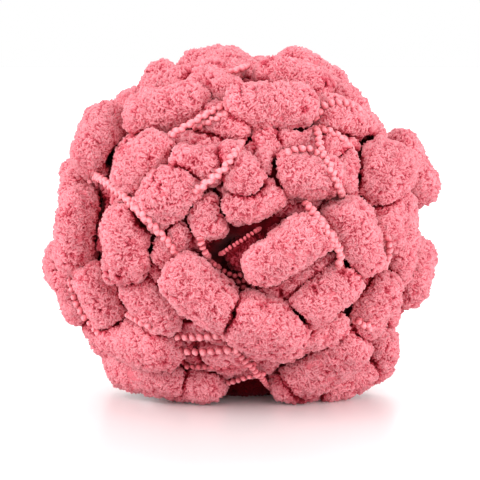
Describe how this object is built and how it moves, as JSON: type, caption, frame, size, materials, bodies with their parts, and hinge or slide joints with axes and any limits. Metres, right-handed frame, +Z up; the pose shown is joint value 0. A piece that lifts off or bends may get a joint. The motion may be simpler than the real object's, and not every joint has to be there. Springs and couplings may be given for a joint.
{
  "type": "ball of pom pom yarn",
  "caption": "Lumpy round ball of pom pom yarn: plump barrels of soft pile on a beaded cord, wound together, standing on small flat spots.",
  "frame": {"origin": "middle of the ball's footprint, on the surface that it rests on", "axes": "+Z up, front towards -Y where the middle of the winding shows as a hollow, +X to the right as the front is seen"},
  "size_m": [0.1628, 0.1519, 0.1422],
  "materials": {
    "rose_pile": "dense matt cut pile of fine polyester yarn, rose pink, darker in the gaps"
  },
  "bodies": {
    "root": {"yarn_ball": "rose_pile"}
  },
  "joints": []
}
